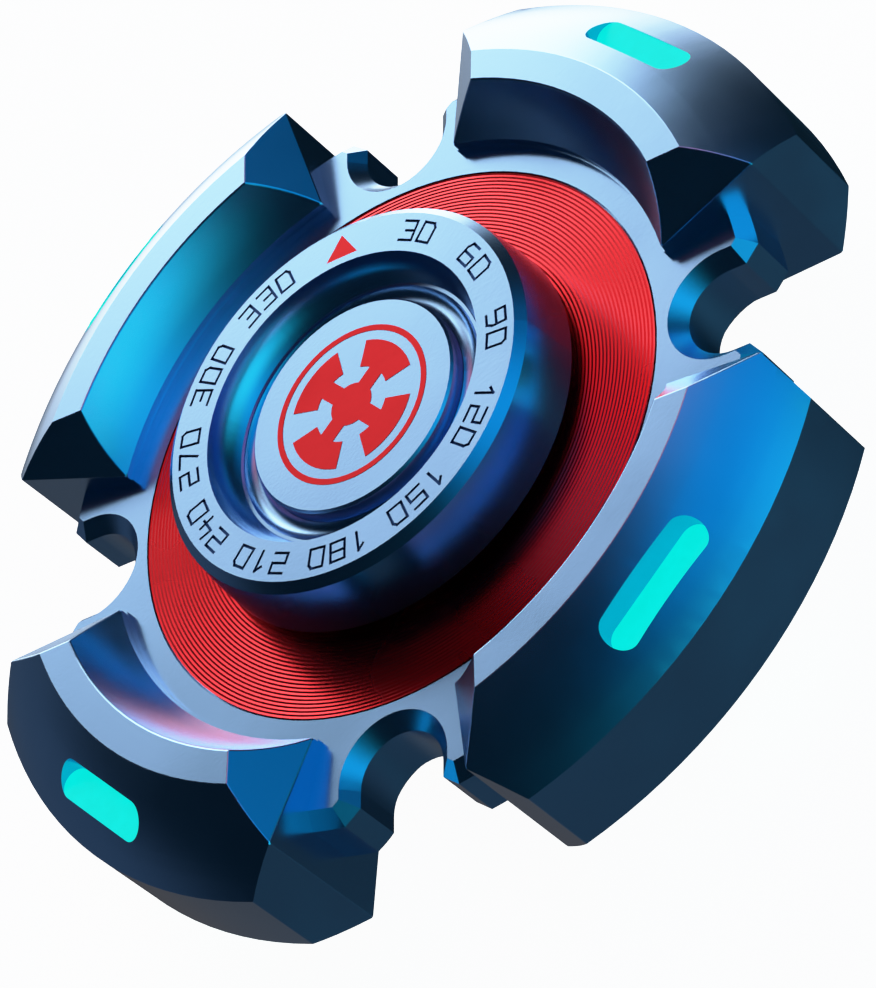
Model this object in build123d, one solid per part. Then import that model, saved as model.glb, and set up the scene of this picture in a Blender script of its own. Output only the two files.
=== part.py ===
from build123d import *

import os
from math import atan2, cos, degrees, hypot, radians, sin, sqrt

# Four-armed metal hand spinner with luminous bars, in millimetres.
# The spin axis is Z. The origin is the middle of the object, so Z = 0 is its middle plane.
# The front and the back carry the same parts, so most sizes are given for the front half.
# The hub (finger buttons, bearing inner ring and screw) stays still between two fingers.
# The rotor (frame, red discs, luminous bars and bearing outer ring) spins about it.

# ---- rotor frame -------------------------------------------------------------------------
arm_count = 4
first_arm_angle = 45.0          # the arms lie between the X and Y axes
rotor_radius = 28.0             # half of the 56 mm across opposite arms
arm_half_angle = 30.85          # each arm covers 61.7 degrees
arm_corner_radius = 25.62       # the outer corners are cut off from here
arm_corner_angle = 26.74        # to this angle on the rotor radius
arm_rim_height = 2.66           # half of the height of the rotor's outer wall
arm_top_height = 6.25           # the flat strip along the top of an arm
strip_inner_radius = 20.85
strip_outer_radius = 22.84
slope_bulge = 0.27              # the outer slope is slightly round
arm_foot_radius = 18.63         # the low wall at the inner foot of an arm
arm_foot_height = 3.24
foot_ledge_height = 2.82
foot_ledge_width = 0.13
wall_hollow = 0.15              # the inner wall of an arm is slightly hollow
facet_top_angle = 22.7          # the sloping facet at each end of an arm meets the strip here
plate_half_height = 2.36
plate_radius = 23.5
plate_chamfer = 0.85
notch_centre_radius = 21.37
notch_radius = 2.66
mouth_corner_radius = 22.41     # where the cut corners of a notch mouth begin
mouth_corner_slope = 1.25
disc_recess_depth = 0.80
edge_rounding = 0.14            # the small rounding along the arm edges

# ---- red discs ---------------------------------------------------------------------------
disc_radius = 17.08
disc_gap = 0.12
disc_bore_radius = 6.50
groove_pitch = 0.2333
groove_count = 24
groove_depth = 0.020

# ---- luminous bars -----------------------------------------------------------------------
bar_length = 7.87
bar_width = 1.90
bar_centre_radius = 25.38
bar_seat_height = 1.40
bar_top_height = 4.03
bar_gap = 0.02

# ---- ball bearing, 6.35 x 12.7 x 4.76 ----------------------------------------------------
bearing_bore_radius = 3.175
bearing_outer_radius = 6.35
bearing_half_width = 2.38
ball_diameter = 1.5875
ball_count = 10
ball_circle_radius = 4.7625
race_groove_radius = 0.83
inner_land_radius = 4.25
outer_land_radius = 5.30
shield_seat_radius = 5.62
shield_seat_height = 1.98
shield_thickness = 0.15
shield_bore_radius = 4.45
clip_bore_radius = 5.25
clip_thickness = 0.18
clip_gap_angle = 36.0
cage_bore_radius = 4.49
cage_outer_radius = 5.04
cage_half_width = 1.05
window_clearance = 0.05

# ---- finger buttons ----------------------------------------------------------------------
button_height = 7.45            # half of the 14.9 mm between the two finger faces
ring_inner_radius = 9.05
ring_outer_radius = 11.46
button_edge_radius = 12.00
button_edge_height = 6.99
button_foot_radius = 12.35
button_foot_height = 3.28
button_side_bulge = 0.06
dish_foot_radius = 8.14
dish_foot_height = 5.54
dish_hollow = 0.22
moat_inner_height = 5.30
moat_outer_height = 5.46
moat_outer_radius = 7.95
moat_hollow = 0.26              # the moat round the centre cap is a shallow cove
boss_radius = 4.10
washer_thickness = 0.20
stem_radius = 3.15
stem_end_height = 0.02
fit_gap = 0.02

# ---- centre caps, emblems and pointers ---------------------------------------------------
cap_radius = 6.70
cap_top_height = 6.38
cap_seat_height = 4.60
cap_edge = 0.14
inlay_depth = 0.12
inlay_proud = 0.02
emblem_ring_outer_radius = 5.00
emblem_ring_width = 0.36
emblem_blade_outer_radius = 4.05
emblem_blade_inner_radius = 2.35
emblem_blade_half_angle = 31.0
emblem_spoke_width = 1.10
emblem_hub_radius = 1.35
pointer_tip_radius = 11.02
pointer_base_radius = 9.48
pointer_half_width = 1.04

# ---- engraved dial -----------------------------------------------------------------------
dial_step = 30                  # a numeral every 30 degrees, clockwise from the pointer
numeral_height = 1.22
numeral_width = 0.92
numeral_stroke = 0.17
numeral_pitch = 1.40
numeral_depth = 0.12
numeral_circle_radius = 10.33

# ---- hub screw, M2.5 socket head ---------------------------------------------------------
screw_radius = 1.25
screw_hole_radius = 1.30
screw_head_radius = 2.25
screw_head_height = 1.55
screw_head_seat_height = 2.90
screw_head_hole_radius = 2.40
screw_end_height = -4.10
screw_thread_end_height = -4.40
screw_socket_width = 2.00
screw_socket_depth = 1.00

# Strokes of the dial figures on a cell that is 1 wide and 1 high.
figure_strokes = {
    "0": [[(0, 0), (0, 1), (0.8, 1), (1, 0.8), (1, 0), (0, 0)]],
    "1": [[(0.25, 0.75), (0.6, 1), (0.6, 0)]],
    "2": [[(0, 1), (1, 1), (1, 0.5), (0, 0.5), (0, 0), (1, 0)]],
    "3": [[(0, 1), (1, 1), (1, 0), (0, 0)], [(0.3, 0.5), (1, 0.5)]],
    "4": [[(0.1, 1), (0, 0.4), (1, 0.4)], [(0.75, 0.75), (0.75, 0)]],
    "5": [[(1, 1), (0, 1), (0, 0.5), (1, 0.5), (1, 0), (0, 0)]],
    "6": [[(0.9, 1), (0.2, 1), (0, 0.7), (0, 0), (1, 0), (1, 0.5), (0, 0.5)]],
    "7": [[(0, 1), (1, 1), (0.45, 0)]],
    "8": [[(0, 0), (0, 1), (1, 1), (1, 0), (0, 0)], [(0, 0.5), (1, 0.5)]],
    "9": [[(0.1, 0), (0.8, 0), (1, 0.3), (1, 1), (0, 1), (0, 0.5), (1, 0.5)]],
}

# Cutting shapes run past the face that they cut by this much.
overshoot = 1.0

# The back half is the front half turned over about the X axis.
sides = {"front": Location((0, 0, 0)), "back": Location((0, 0, 0), (180, 0, 0))}


def polar(radius, angle, height=0.0):
    """Return the point at a radius and an angle in degrees about Z."""
    return Vector(radius * cos(radians(angle)), radius * sin(radians(angle)), height)


def lathe(*edges):
    """Turn a closed outline of (radius, height) edges about Z."""
    return revolve(Plane.XZ * make_face(Curve() + list(edges)), Axis.Z)


def lathe_points(*points):
    """Turn a closed straight-sided outline of (radius, height) points about Z."""
    return lathe(Polyline(*points, close=True))


def tube(inner_radius, outer_radius, low, high):
    """A plain ring between two radii and two heights."""
    return lathe_points((inner_radius, low), (outer_radius, low), (outer_radius, high), (inner_radius, high))


def disc(radius, low, high):
    """A plain round disc between two heights."""
    return Pos(0, 0, low) * Cylinder(radius, high - low, align=(Align.CENTER, Align.CENTER, Align.MIN))


def beyond(point, normal):
    """A large block that fills the space on the far side of a plane."""
    size = 4 * rotor_radius
    block = Box(size, size, size, align=(Align.CENTER, Align.CENTER, Align.MIN))
    return Plane(origin=point, z_dir=normal) * block


def around(shape, count=arm_count, start=0.0):
    """Copies of a shape, evenly spaced about Z."""
    return [Rot(0, 0, start + 360.0 / count * index) * shape for index in range(count)]


# ---- rotor -------------------------------------------------------------------------------
def notch_outline():
    """The open U notch on +X, with the cut corners of its mouth."""
    far = plate_radius + 2 * overshoot
    far_half = notch_radius + (far - mouth_corner_radius) * mouth_corner_slope
    throat = Polygon(
        (notch_centre_radius, -notch_radius),
        (mouth_corner_radius, -notch_radius),
        (far, -far_half),
        (far, far_half),
        (mouth_corner_radius, notch_radius),
        (notch_centre_radius, notch_radius),
        align=None,
    )
    return Pos(notch_centre_radius, 0) * Circle(notch_radius) + throat


def centre_plate():
    """The plate between the arms, with four notches and a chamfer along its whole edge."""
    outline = Circle(plate_radius)
    for notch in around(notch_outline()):
        outline -= notch
    core_half = plate_half_height - plate_chamfer
    core = Pos(0, 0, -core_half) * extrude(outline, 2 * core_half)
    lip = Pos(0, 0, core_half) * extrude(outline, plate_chamfer, taper=45)
    return core + lip + mirror(lip, Plane.XY)


def slope_arc():
    """The centre (radius, height) and the radius of the arc along an arm's outer slope."""
    run = rotor_radius - strip_outer_radius
    drop = arm_top_height - arm_rim_height
    chord = hypot(run, drop)
    arc_radius = chord**2 / (8 * slope_bulge) + slope_bulge / 2
    inward = arc_radius - slope_bulge
    centre_radius = (strip_outer_radius + rotor_radius) / 2 - inward * drop / chord
    centre_height = (arm_top_height + arm_rim_height) / 2 - inward * run / chord
    return centre_radius, centre_height, arc_radius


def slope_height(radius):
    """The height of the outer slope at a radius."""
    centre_radius, centre_height, arc_radius = slope_arc()
    return centre_height + sqrt(arc_radius**2 - (radius - centre_radius) ** 2)


def hollow_middle(low, high, depth):
    """The middle point of a hollow wall that leans outwards from its foot to its top."""
    run = high[0] - low[0]
    rise = high[1] - low[1]
    length = hypot(run, rise)
    return (low[0] + high[0]) / 2 + depth * rise / length, (low[1] + high[1]) / 2 - depth * run / length


def arm_profile():
    """The section of the front half of an arm, in (radius, height)."""
    middle_radius = (strip_outer_radius + rotor_radius) / 2
    ledge_radius = arm_foot_radius + foot_ledge_width
    wall_foot = (ledge_radius, arm_foot_height)
    wall_top = (strip_inner_radius, arm_top_height)
    strip_end = (strip_outer_radius, arm_top_height)
    rim_top = (rotor_radius, arm_rim_height)
    outline = [
        Polyline(
            (arm_foot_radius, 0),
            (arm_foot_radius, foot_ledge_height),
            (ledge_radius, foot_ledge_height),
            wall_foot,
        ),
        ThreePointArc(wall_foot, hollow_middle(wall_foot, wall_top, wall_hollow), wall_top),
        Line(wall_top, strip_end),
        ThreePointArc(strip_end, (middle_radius, slope_height(middle_radius)), rim_top),
        Polyline(rim_top, (rotor_radius, 0), (arm_foot_radius, 0)),
    ]
    return make_face(Curve() + outline)


def arm_block():
    """One arm about +X, with its cut corners, end facets and bar pockets."""
    half = revolve(Plane.XZ * arm_profile(), Axis.Z, revolution_arc=2 * arm_half_angle)
    half = Rot(0, 0, -arm_half_angle) * half
    corner_inner = polar(arm_corner_radius, arm_half_angle)
    corner_outer = polar(rotor_radius, arm_corner_angle)
    along = corner_outer - corner_inner
    corner_cut = beyond(corner_inner, Vector(-along.Y, along.X, 0))
    facet_foot = polar(arm_foot_radius + foot_ledge_width, arm_half_angle, arm_foot_height)
    facet_corner = polar(arm_corner_radius, arm_half_angle, slope_height(arm_corner_radius))
    facet_top = polar(strip_inner_radius, facet_top_angle, arm_top_height)
    facet_cut = beyond(facet_foot, (facet_top - facet_foot).cross(facet_corner - facet_foot))
    for cut in (corner_cut, facet_cut):
        half -= cut
        half -= mirror(cut, Plane.XZ)
    half = round_edges(half)
    half -= bar_pocket()
    return half + mirror(half, Plane.XY)


def round_edges(half):
    """Round the long edges of an arm half: those above the foot ledge and the upright outer ones."""
    shortest = 1.0
    tolerance = 0.1
    chosen = []
    for edge in half.edges():
        middle = edge.position_at(0.5)
        radius = hypot(middle.X, middle.Y)
        rise = abs(edge.position_at(0).Z - edge.position_at(1).Z)
        is_high = edge.bounding_box().min.Z > foot_ledge_height + tolerance
        is_upright = edge.geom_type == GeomType.LINE and rise > arm_rim_height - tolerance
        if edge.length > shortest and radius > arm_foot_radius + shortest and (is_high or is_upright):
            chosen.append(edge)
    return fillet(chosen, edge_rounding)


def bar_outline(gap=0.0):
    """The round-ended outline of a luminous bar on +X, lying across the arm."""
    capsule = SlotOverall(bar_length - 2 * gap, bar_width - 2 * gap, rotation=90)
    return Pos(bar_centre_radius, 0) * capsule


def bar_pocket():
    """The upright pocket that a luminous bar sits in, open at the slope."""
    return Pos(0, 0, bar_seat_height) * extrude(bar_outline(), arm_top_height)


def rotor_frame():
    """The one-piece frame: centre plate and four arms."""
    frame = centre_plate()
    for arm in around(arm_block(), start=first_arm_angle):
        frame += arm
    recess_floor = plate_half_height - disc_recess_depth
    recess = disc(disc_radius + disc_gap, recess_floor, arm_top_height)
    frame -= recess
    frame -= mirror(recess, Plane.XY)
    return frame - disc(bearing_outer_radius + fit_gap / 2, -arm_top_height, arm_top_height)


def red_disc():
    """A turned disc with fine round grooves."""
    floor = plate_half_height - disc_recess_depth
    points = [(disc_bore_radius, floor), (disc_radius, floor)]
    for index in range(groove_count):
        outer = disc_radius - groove_pitch * index
        points.append((outer, plate_half_height))
        points.append((outer - groove_pitch / 2, plate_half_height - groove_depth))
    points.append((disc_radius - groove_pitch * groove_count, plate_half_height))
    points.append((disc_bore_radius, plate_half_height))
    return lathe_points(*points)


def light_bar():
    """A luminous bar with a flat top, seated in its pocket on +X."""
    return Pos(0, 0, bar_seat_height) * extrude(bar_outline(bar_gap), bar_top_height - bar_seat_height)


# ---- bearing -----------------------------------------------------------------------------
def race_groove():
    """The round track that the balls run in."""
    return Torus(ball_circle_radius, race_groove_radius)


def bearing_outer_race():
    """The outer ring, with seats for a shield on both faces."""
    race = tube(outer_land_radius, bearing_outer_radius, -bearing_half_width, bearing_half_width)
    seat = tube(outer_land_radius - fit_gap, shield_seat_radius, shield_seat_height, bearing_half_width + overshoot)
    return race - race_groove() - seat - mirror(seat, Plane.XY)


def bearing_inner_race():
    """The inner ring."""
    race = tube(bearing_bore_radius, inner_land_radius, -bearing_half_width, bearing_half_width)
    return race - race_groove()


def bearing_cage():
    """The ring that keeps the balls apart, with a round window for each ball."""
    cage = tube(cage_bore_radius, cage_outer_radius, -cage_half_width, cage_half_width)
    window = Rot(0, 90, 0) * Cylinder(ball_diameter / 2 + window_clearance, 2 * overshoot)
    for window_copy in around(Pos(ball_circle_radius, 0, 0) * window, ball_count):
        cage -= window_copy
    return cage


def bearing_balls():
    """The balls, as separate solids."""
    ball = Pos(ball_circle_radius, 0, 0) * Sphere(ball_diameter / 2)
    return Compound(children=around(ball, ball_count))


def bearing_shield():
    """A thin shield against dust."""
    top = shield_seat_height + shield_thickness
    return tube(shield_bore_radius, shield_seat_radius - fit_gap, shield_seat_height, top)


def shield_clip():
    """The split wire ring that holds a shield."""
    low = shield_seat_height + shield_thickness
    ring = tube(clip_bore_radius, shield_seat_radius - fit_gap, low, low + clip_thickness)
    opening = Polygon(
        (0, 0),
        tuple(polar(2 * shield_seat_radius, -clip_gap_angle / 2))[:2],
        tuple(polar(2 * shield_seat_radius, clip_gap_angle / 2))[:2],
        align=None,
    )
    return ring - extrude(opening, 2 * bearing_half_width)


# ---- hub ---------------------------------------------------------------------------------
def button_blank():
    """A finger button without its screw hole: face ring, dished middle, side, boss and stem."""
    boss_end = bearing_half_width + washer_thickness
    dish_foot = (dish_foot_radius, dish_foot_height)
    dish_rim = (ring_inner_radius, button_height)
    side_middle = (
        (button_edge_radius + button_foot_radius) / 2 + button_side_bulge,
        (button_edge_height + button_foot_height) / 2,
    )
    seat_radius = cap_radius + fit_gap
    moat_inner = (seat_radius, moat_inner_height)
    moat_outer = (moat_outer_radius, moat_outer_height)
    return lathe(
        Polyline((0, cap_seat_height), (seat_radius, cap_seat_height), moat_inner),
        ThreePointArc(moat_inner, hollow_middle(moat_inner, moat_outer, moat_hollow), moat_outer),
        Polyline(moat_outer, (moat_outer_radius, dish_foot_height), dish_foot),
        ThreePointArc(dish_foot, hollow_middle(dish_foot, dish_rim, dish_hollow), dish_rim),
        Polyline(
            dish_rim,
            (ring_outer_radius, button_height),
            (button_edge_radius, button_edge_height),
        ),
        ThreePointArc(
            (button_edge_radius, button_edge_height),
            side_middle,
            (button_foot_radius, button_foot_height),
        ),
        Polyline(
            (button_foot_radius, button_foot_height),
            (boss_radius, button_foot_height),
            (boss_radius, boss_end),
            (stem_radius, boss_end),
            (stem_radius, stem_end_height),
            (0, stem_end_height),
            (0, cap_seat_height),
        ),
    )


def figure(character):
    """One dial figure, centred on the origin, as a flat face."""
    strokes = Sketch()
    for path in figure_strokes[character]:
        places = [((x - 0.5) * numeral_width, (y - 0.5) * numeral_height) for x, y in path]
        for start, end in zip(places, places[1:]):
            run = end[0] - start[0]
            rise = end[1] - start[1]
            middle = Pos((start[0] + end[0]) / 2, (start[1] + end[1]) / 2)
            bar = Rectangle(hypot(run, rise) + numeral_stroke, numeral_stroke)
            strokes += middle * Rot(0, 0, degrees(atan2(rise, run))) * bar
    return strokes


def dial_cutter():
    """The sunken dial figures of a face ring, as shallow solids."""
    faces = {character: figure(character) for character in figure_strokes}
    step = degrees(numeral_pitch / numeral_circle_radius)
    solids = []
    for angle in range(dial_step, 360, dial_step):
        label = str(angle)
        for index, character in enumerate(label):
            clockwise = angle + (index - (len(label) - 1) / 2) * step
            place = Rot(0, 0, -clockwise) * Pos(0, numeral_circle_radius, button_height - numeral_depth)
            solids += extrude(place * faces[character], 2 * numeral_depth).solids()
    return solids


def pointer(low, high):
    """The triangle at the top of the dial."""
    outline = Polygon(
        (0, pointer_tip_radius),
        (-pointer_half_width, pointer_base_radius),
        (pointer_half_width, pointer_base_radius),
        align=None,
    )
    return Pos(0, 0, low) * extrude(outline, high - low)


def marked_button():
    """A finger button with its engraved dial and the seat of its pointer."""
    button = button_blank() - dial_cutter()
    return button - pointer(button_height - inlay_depth, button_height + overshoot)


def front_button():
    """The button on the screw head's side."""
    head_hole = disc(screw_head_hole_radius, screw_head_seat_height, cap_seat_height + overshoot)
    shank_hole = disc(screw_hole_radius, -overshoot, cap_seat_height)
    return marked_button() - head_hole - shank_hole


def back_button():
    """The button that the screw goes into, before it is turned over to the back."""
    return marked_button() - disc(screw_radius, -overshoot, -screw_thread_end_height)


def emblem_ring(low, high):
    """The ring of the cap's emblem."""
    return tube(emblem_ring_outer_radius - emblem_ring_width, emblem_ring_outer_radius, low, high)


def emblem_rotor(low, high):
    """The small four-bladed rotor inside the emblem's ring."""
    blade = Circle(emblem_blade_outer_radius) - Circle(emblem_blade_inner_radius)
    far = 2 * emblem_blade_outer_radius
    wedge = Polygon(
        (0, 0),
        tuple(polar(far, -emblem_blade_half_angle))[:2],
        tuple(polar(far, emblem_blade_half_angle))[:2],
        align=None,
    )
    blade = blade & wedge
    spoke_length = (emblem_blade_inner_radius + emblem_blade_outer_radius) / 2
    blade += Pos(spoke_length / 2, 0) * Rectangle(spoke_length, emblem_spoke_width)
    outline = Circle(emblem_hub_radius)
    for copy in around(blade, start=first_arm_angle):
        outline += copy
    return Pos(0, 0, low) * extrude(outline, high - low)


def centre_cap():
    """The pressed-in cap over the middle of a button, with seats for its emblem."""
    cap = lathe_points(
        (0, cap_seat_height),
        (cap_radius, cap_seat_height),
        (cap_radius, cap_top_height - cap_edge),
        (cap_radius - cap_edge, cap_top_height),
        (0, cap_top_height),
    )
    low = cap_top_height - inlay_depth
    high = cap_top_height + overshoot
    return cap - emblem_ring(low, high) - emblem_rotor(low, high)


def hub_screw():
    """The screw that pulls the two buttons together through the bearing."""
    head_top = screw_head_seat_height + screw_head_height
    screw = disc(screw_radius, screw_end_height, screw_head_seat_height)
    screw += disc(screw_head_radius, screw_head_seat_height, head_top)
    socket = RegularPolygon(screw_socket_width / 2, 6, major_radius=False)
    return screw - Pos(0, 0, head_top - screw_socket_depth) * extrude(socket, 2 * screw_socket_depth)


def shim_washer():
    """The thin washer between a button's boss and the bearing's inner ring."""
    return tube(bearing_bore_radius, boss_radius, bearing_half_width, bearing_half_width + washer_thickness)


# ---- the whole object --------------------------------------------------------------------
def all_parts():
    """Every node by name."""
    cap_inlay = (cap_top_height - inlay_depth, cap_top_height + inlay_proud)
    ring_inlay = (button_height - inlay_depth, button_height)
    two_sided = {
        "red_disc": red_disc(),
        "bearing_shield": bearing_shield(),
        "shield_clip": shield_clip(),
        "shim_washer": shim_washer(),
        "centre_cap": centre_cap(),
        "emblem_ring": emblem_ring(*cap_inlay),
        "emblem_rotor": emblem_rotor(*cap_inlay),
        "dial_pointer": pointer(*ring_inlay),
    }
    parts = {
        "rotor_frame": rotor_frame(),
        "bearing_outer_race": bearing_outer_race(),
        "bearing_inner_race": bearing_inner_race(),
        "bearing_cage": bearing_cage(),
        "bearing_balls": bearing_balls(),
        "hub_screw": hub_screw(),
        "front_button": front_button(),
        "back_button": sides["back"] * back_button(),
    }
    bars = around(light_bar(), start=first_arm_angle)
    for side, turn in sides.items():
        for name, shape in two_sided.items():
            parts[side + "_" + name] = turn * shape
        for number, bar in enumerate(bars, start=1):
            parts[side + "_light_bar_" + str(number)] = turn * bar
    return parts


os.makedirs("parts", exist_ok=True)
for name, shape in all_parts().items():
    export_step(shape, "parts/" + name + ".step")
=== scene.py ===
import math

import bpy
from mathutils import Matrix, Vector


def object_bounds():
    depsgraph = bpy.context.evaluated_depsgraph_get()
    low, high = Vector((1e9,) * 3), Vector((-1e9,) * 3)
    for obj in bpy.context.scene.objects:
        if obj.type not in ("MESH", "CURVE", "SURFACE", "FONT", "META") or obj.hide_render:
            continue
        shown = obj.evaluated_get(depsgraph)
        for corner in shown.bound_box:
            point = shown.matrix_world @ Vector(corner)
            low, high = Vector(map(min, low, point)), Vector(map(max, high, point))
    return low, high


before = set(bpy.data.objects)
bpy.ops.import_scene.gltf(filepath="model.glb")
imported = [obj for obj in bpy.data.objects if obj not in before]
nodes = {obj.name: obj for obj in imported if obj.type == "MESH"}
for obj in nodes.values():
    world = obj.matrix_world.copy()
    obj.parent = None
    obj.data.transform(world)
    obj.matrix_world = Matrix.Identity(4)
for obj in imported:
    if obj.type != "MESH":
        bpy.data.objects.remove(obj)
cad_low, cad_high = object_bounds()

BLUE = (0.29, 0.50, 0.80)
NAVY = (0.012, 0.050, 0.160)
RED = (0.88, 0.020, 0.032)
ENAMEL = (0.62, 0.016, 0.022)
CYAN = (0.0015, 0.913, 0.791)

# where the painted floors of the dial figures are, in metres from the axis and from the middle plane
FIGURE_RADII = (0.0096, 0.0111)
FIGURE_HEIGHTS = (0.0072, 0.00743)


class Graph:
    """A node tree with short ways to add and join nodes."""

    def __init__(self, tree):
        self.tree = tree
        tree.nodes.clear()

    def add(self, kind, inputs=None, **settings):
        node = self.tree.nodes.new(kind)
        for name, value in settings.items():
            setattr(node, name, value)
        for name, value in (inputs or {}).items():
            self.put(node.inputs[name], value)
        return node

    def put(self, socket, value):
        if isinstance(value, bpy.types.NodeSocket):
            self.tree.links.new(value, socket)
        else:
            socket.default_value = value

    def math(self, operation, a, b=None, clamp=False):
        inputs = {0: a} if b is None else {0: a, 1: b}
        return self.add("ShaderNodeMath", inputs, operation=operation, use_clamp=clamp).outputs[0]

    def ramp(self, value, low, high, to_low=0.0, to_high=1.0):
        """value from low to high becomes to_low to to_high, with soft ends."""
        inputs = {"Value": value, "From Min": low, "From Max": high, "To Min": to_low, "To Max": to_high}
        return self.add("ShaderNodeMapRange", inputs, interpolation_type="SMOOTHSTEP").outputs[0]

    def mix(self, share, a, b):
        node = self.add("ShaderNodeMix", data_type="RGBA")
        self.put(node.inputs[0], share)
        self.put(node.inputs[6], (*a, 1) if isinstance(a, tuple) else a)
        self.put(node.inputs[7], (*b, 1) if isinstance(b, tuple) else b)
        return node.outputs[2]

    def noise(self, scale, detail=2.0, vector=None):
        inputs = {"Scale": scale, "Detail": detail}
        if vector is not None:
            inputs["Vector"] = vector
        return self.add("ShaderNodeTexNoise", inputs).outputs["Fac"]


def start_material(name):
    """(material, graph, object coordinates, shader) of a new material with a Principled shader."""
    material = bpy.data.materials.new(name)
    material.use_nodes = True
    graph = Graph(material.node_tree)
    place = graph.add("ShaderNodeTexCoord").outputs["Object"]
    shader = graph.add("ShaderNodeBsdfPrincipled")
    graph.add("ShaderNodeOutputMaterial", {"Surface": shader.outputs[0]})
    return material, graph, place, shader


def bump(graph, height, distance):
    """A surface normal roughened by height, over a distance in metres."""
    return graph.add("ShaderNodeBump", {"Height": height, "Distance": distance}).outputs[0]


def from_axis(graph, place):
    """(distance from the spin axis, height) of a place."""
    x, y, z = graph.add("ShaderNodeSeparateXYZ", {0: place}).outputs
    squares = graph.math("ADD", graph.math("MULTIPLY", x, x), graph.math("MULTIPLY", y, y))
    return graph.math("SQRT", squares), z


def between(graph, value, limits):
    """1 where value is between the two limits, else 0."""
    low, high = limits
    return graph.math("MULTIPLY", graph.math("GREATER_THAN", value, low), graph.math("LESS_THAN", value, high))


def scaled(colour, factor):
    return tuple(factor * channel for channel in colour)


def blue_metal():
    """Fine-blasted blue anodising: grain, soft cloudiness, and figures filled with navy paint."""
    material, g, place, shader = start_material("blue_metal")
    grain = g.noise(5200, 3, place)
    cloud = g.noise(95, 4, place)
    radius, z = from_axis(g, place)
    in_band = between(g, radius, FIGURE_RADII)
    sunk = between(g, g.math("ABSOLUTE", z), FIGURE_HEIGHTS)
    painted = g.math("MULTIPLY", in_band, sunk)
    metal = g.mix(g.ramp(cloud, 0.3, 0.7), scaled(BLUE, 0.94), scaled(BLUE, 1.05))
    g.put(shader.inputs["Base Color"], g.mix(painted, metal, NAVY))
    g.put(shader.inputs["Metallic"], 1.0)
    rough = g.math("ADD", g.ramp(cloud, 0.25, 0.75, 0.21, 0.27), g.math("MULTIPLY", painted, 0.25))
    g.put(shader.inputs["Roughness"], rough)
    g.put(shader.inputs["Normal"], bump(g, grain, 1.2e-6))
    return material


def red_anodised():
    """Turned disc, anodised red: fine tool marks round the axis under a clear sealed coat."""
    material, g, place, shader = start_material("red_anodised")
    radius, _ = from_axis(g, place)
    ring = g.add("ShaderNodeCombineXYZ", {0: radius})
    marks = g.noise(26000, 2, ring.outputs[0])
    cloud = g.noise(120, 3, place)
    g.put(shader.inputs["Base Color"], g.mix(g.ramp(marks, 0.3, 0.7), scaled(RED, 0.85), RED))
    g.put(shader.inputs["Metallic"], 1.0)
    g.put(shader.inputs["Roughness"], g.ramp(cloud, 0.3, 0.7, 0.24, 0.30))
    g.put(shader.inputs["Coat Weight"], 0.25)
    g.put(shader.inputs["Coat Roughness"], 0.2)
    g.put(shader.inputs["Normal"], bump(g, marks, 2.0e-6))
    return material


def red_enamel():
    """Translucent red enamel fired over the metal, slightly uneven, as it settles in a cavity."""
    material, g, place, shader = start_material("red_enamel")
    cloud = g.noise(700, 3, place)
    g.put(shader.inputs["Base Color"], g.mix(g.ramp(cloud, 0.3, 0.7), scaled(ENAMEL, 0.9), ENAMEL))
    g.put(shader.inputs["Metallic"], 1.0)
    g.put(shader.inputs["Roughness"], g.ramp(cloud, 0.3, 0.7, 0.34, 0.44))
    g.put(shader.inputs["Normal"], bump(g, cloud, 6.0e-6))
    return material


def glow_resin():
    """Cast luminous resin: even cyan light with a faintly mottled depth."""
    material, g, place, shader = start_material("glow_resin")
    mottle = g.noise(900, 3, place)
    light = g.mix(g.ramp(mottle, 0.25, 0.75), scaled(CYAN, 0.93), CYAN)
    g.put(shader.inputs["Base Color"], (0.0, 0.10, 0.09, 1))
    g.put(shader.inputs["Roughness"], g.ramp(mottle, 0.3, 0.7, 0.30, 0.40))
    g.put(shader.inputs["Specular IOR Level"], 0.04)
    g.put(shader.inputs["Emission Color"], light)
    g.put(shader.inputs["Emission Strength"], 0.96)
    return material


def steel(name, colour, low, high):
    """Ground steel with fine marks round the axis."""
    material, g, place, shader = start_material(name)
    radius, z = from_axis(g, place)
    ring = g.add("ShaderNodeCombineXYZ", {0: radius, 2: z})
    marks = g.noise(15000, 2, ring.outputs[0])
    g.put(shader.inputs["Base Color"], g.mix(g.ramp(marks, 0.3, 0.7), scaled(colour, 0.85), colour))
    g.put(shader.inputs["Metallic"], 1.0)
    g.put(shader.inputs["Roughness"], g.ramp(marks, 0.3, 0.7, low, high))
    g.put(shader.inputs["Normal"], bump(g, marks, 1.0e-6))
    return material


def ceramic():
    """Polished dark ceramic of the bearing balls."""
    material, g, place, shader = start_material("ceramic_ball")
    speckle = g.noise(4000, 3, place)
    g.put(shader.inputs["Base Color"], g.mix(speckle, (0.030, 0.031, 0.033), (0.060, 0.061, 0.064)))
    g.put(shader.inputs["Roughness"], g.ramp(speckle, 0.3, 0.7, 0.08, 0.14))
    return material


made = {
    "blue_metal": blue_metal(),
    "red_anodised": red_anodised(),
    "red_enamel": red_enamel(),
    "glow_resin": glow_resin(),
    "bearing_steel": steel("bearing_steel", (0.60, 0.61, 0.63), 0.16, 0.24),
    "cage_steel": steel("cage_steel", (0.50, 0.50, 0.51), 0.24, 0.34),
    "screw_steel": steel("screw_steel", (0.36, 0.37, 0.39), 0.22, 0.32),
    "ceramic_ball": ceramic(),
}

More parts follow.
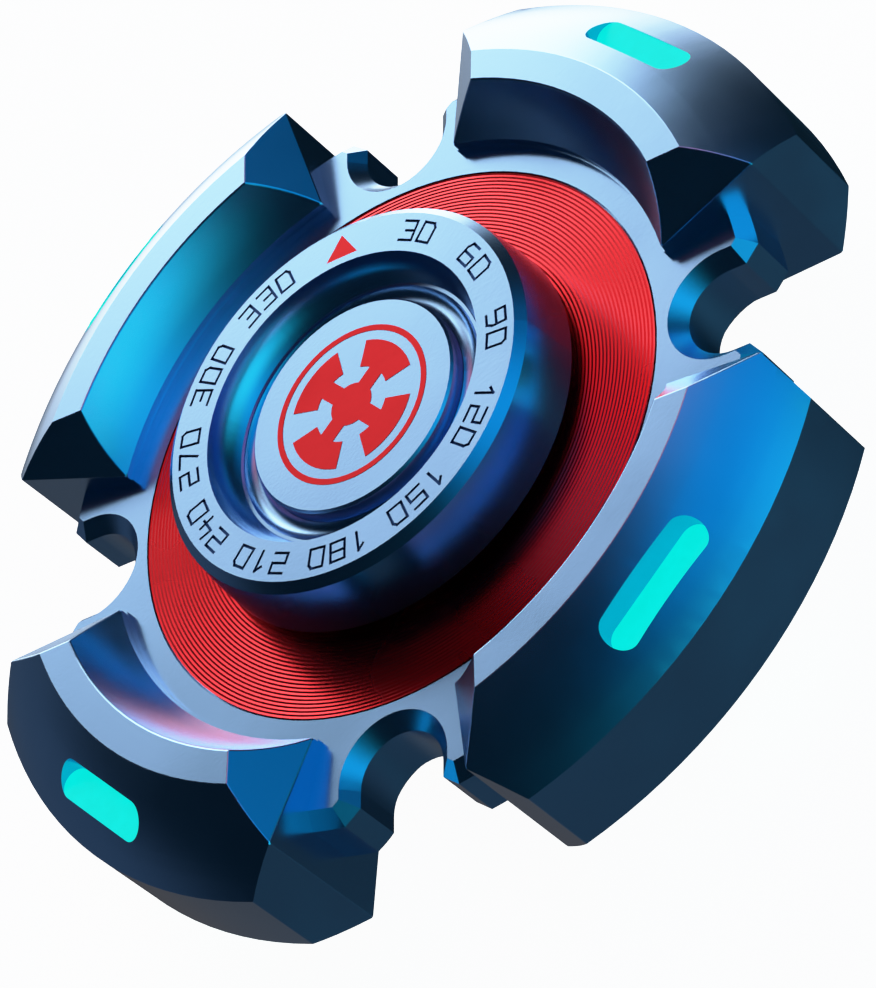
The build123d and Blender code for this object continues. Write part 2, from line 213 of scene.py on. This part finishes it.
# the first of these that is part of a node's name says its material
slot_of_word = {
    "red_disc": "red_anodised",
    "light_bar": "glow_resin",
    "emblem": "red_enamel",
    "pointer": "red_enamel",
    "bearing_balls": "ceramic_ball",
    "bearing_cage": "cage_steel",
    "hub_screw": "screw_steel",
    "bearing": "bearing_steel",
    "shield": "bearing_steel",
    "washer": "bearing_steel",
}

for name, node in nodes.items():
    slots = [slot for word, slot in slot_of_word.items() if word in name]
    node.data.materials.clear()
    node.data.materials.append(made[slots[0] if slots else "blue_metal"])


def direction(azimuth, elevation):
    """The direction from +X round +Z by azimuth and up by elevation, in degrees."""
    a, e = math.radians(azimuth), math.radians(elevation)
    return Vector((math.cos(a) * math.cos(e), math.sin(a) * math.cos(e), math.sin(e)))


def softbox(g, towards, azimuth, elevation, across, upwards, tint, level):
    """Colour of a soft-edged lamp in the studio surround, which is centred on an azimuth and an elevation.

    across is a pair of half angles in degrees: full light inside the first, none outside the second.
    upwards has such a pair for the part below the centre, and one for the part above.
    """
    ahead = direction(azimuth, elevation)
    side = Vector((-math.sin(math.radians(azimuth)), math.cos(math.radians(azimuth)), 0))
    above = ahead.cross(side)
    parts = []
    for axis in (ahead, side, above):
        dot = g.add("ShaderNodeVectorMath", {0: towards, 1: axis}, operation="DOT_PRODUCT")
        parts.append(dot.outputs["Value"])
    depth, x, y = parts
    x_angle = g.math("ABSOLUTE", g.math("ARCTAN2", x, depth))
    squares = g.math("ADD", g.math("MULTIPLY", x, x), g.math("MULTIPLY", depth, depth))
    y_angle = g.math("ARCTAN2", y, g.math("SQRT", squares))
    wide = g.ramp(x_angle, math.radians(across[0]), math.radians(across[1]), 1.0, 0.0)
    (low_full, low_none), (high_full, high_none) = upwards
    over = g.ramp(y_angle, math.radians(high_full), math.radians(high_none), 1.0, 0.0)
    under = g.ramp(y_angle, math.radians(-low_none), math.radians(-low_full), 0.0, 1.0)
    share = g.math("MULTIPLY", wide, g.math("MULTIPLY", over, under))
    full = scaled(tint, level)
    return g.add("ShaderNodeVectorMath", {0: full, "Scale": share}, operation="SCALE").outputs[0]


def studio():
    """The surround: a dim room with a broad white lamp behind on the left, and cool fills on the right."""
    world = bpy.data.worlds.new("studio")
    world.use_nodes = True
    bpy.context.scene.world = world
    g = Graph(world.node_tree)
    seen = g.add("ShaderNodeTexCoord").outputs["Generated"]
    towards = g.add("ShaderNodeVectorMath", {0: seen}, operation="NORMALIZE").outputs[0]
    white_lamp = softbox(g, towards, 114.5, 4, (8, 32), ((13, 34), (30, 41)), (1.0, 1.0, 1.0), 3.4)
    dim_air = (0.004, 0.012, 0.018)
    fills = [
        # cyan, low on the right
        softbox(g, towards, 338, 8, (6, 58), ((14, 42), (10, 50)), (0.05, 1.25, 1.30), 1.0),
        # blue, high on the right
        softbox(g, towards, 16, 55, (6, 48), ((6, 32), (10, 28)), (0.0, 0.40, 0.80), 1.0),
        # pink, small, high behind
        softbox(g, towards, 91, 59, (9, 19), ((4, 13), (6, 20)), (1.0, 0.24, 0.30), 1.3),
        # grey, weak, level with the object on the left
        softbox(g, towards, 172, -2, (14, 44), ((8, 26), (8, 28)), (0.055, 0.070, 0.095), 1.0),
        # what the table throws back on the left, and in front
        softbox(g, towards, 180, -38, (15, 50), ((12, 34), (6, 28)), (0.10, 0.08, 0.07), 1.0),
        softbox(g, towards, 300, -50, (30, 75), ((30, 60), (6, 26)), (0.035, 0.052, 0.064), 1.0),
    ]
    room = white_lamp
    for light in (*fills, dim_air):
        room = g.add("ShaderNodeVectorMath", {0: room, 1: light}, operation="ADD").outputs[0]
    background = g.add("ShaderNodeBackground", {"Color": room, "Strength": 1.0})
    g.add("ShaderNodeOutputWorld", {"Surface": background.outputs[0]})


def floor():
    """A pale, softly lit floor just under the lower button."""
    mesh = bpy.data.meshes.new("floor")
    reach = 3.0
    gap = 2.0e-5
    level = cad_low.z - gap
    corners = [(-reach, -reach, level), (reach, -reach, level), (reach, reach, level), (-reach, reach, level)]
    mesh.from_pydata(corners, [], [(0, 1, 2, 3)])
    piece = bpy.data.objects.new("floor", mesh)
    bpy.context.scene.collection.objects.link(piece)
    material, g, place, shader = start_material("pale_floor")
    fleck = g.noise(40, 2, place)
    g.put(shader.inputs["Base Color"], g.mix(fleck, (0.62, 0.62, 0.62), (0.64, 0.64, 0.64)))
    g.put(shader.inputs["Roughness"], 0.9)
    g.put(shader.inputs["Emission Color"], (1.0, 1.0, 1.0, 1))
    g.put(shader.inputs["Emission Strength"], 1.35)
    mesh.materials.append(material)
    piece.visible_glossy = False


def camera():
    """The photograph's viewpoint. The matrix columns are right, up, backwards and the place in metres."""
    data = bpy.data.cameras.new("camera")
    data.lens = 181.9
    data.sensor_width = 36.0
    data.clip_start, data.clip_end = 0.01, 20.0
    piece = bpy.data.objects.new("camera", data)
    piece.matrix_world = Matrix((
        (0.8164, 0.3363, 0.4694, 0.12955),
        (0.0000, 0.8129, -0.5824, -0.16197),
        (-0.5775, 0.4755, 0.6637, 0.18138),
        (0, 0, 0, 1),
    ))
    bpy.context.scene.collection.objects.link(piece)
    bpy.context.scene.camera = piece


def display():
    """Plain display colours with a soft shoulder, so that the brightest metal keeps its tone as on film."""
    view = bpy.context.scene.view_settings
    view.view_transform = "Standard"
    view.use_curve_mapping = True
    mapping = view.curve_mapping
    brightest = 4.0
    mapping.white_level = (brightest, brightest, brightest)
    shoulder, room_left = 0.70, 0.30
    curve = mapping.curves[3]
    curve.points[0].location = (0.0, 0.0)
    curve.points[1].location = (1.0, 1.0)
    for light in (0.1, 0.3, 0.5, 0.7, 0.85, 1.0, 1.2, 1.5, 2.0, 2.8):
        shown = light if light < shoulder else 1 - room_left * math.exp((shoulder - light) / room_left)
        curve.points.new(light / brightest, shown)
    mapping.update()


studio()
floor()
camera()
display()
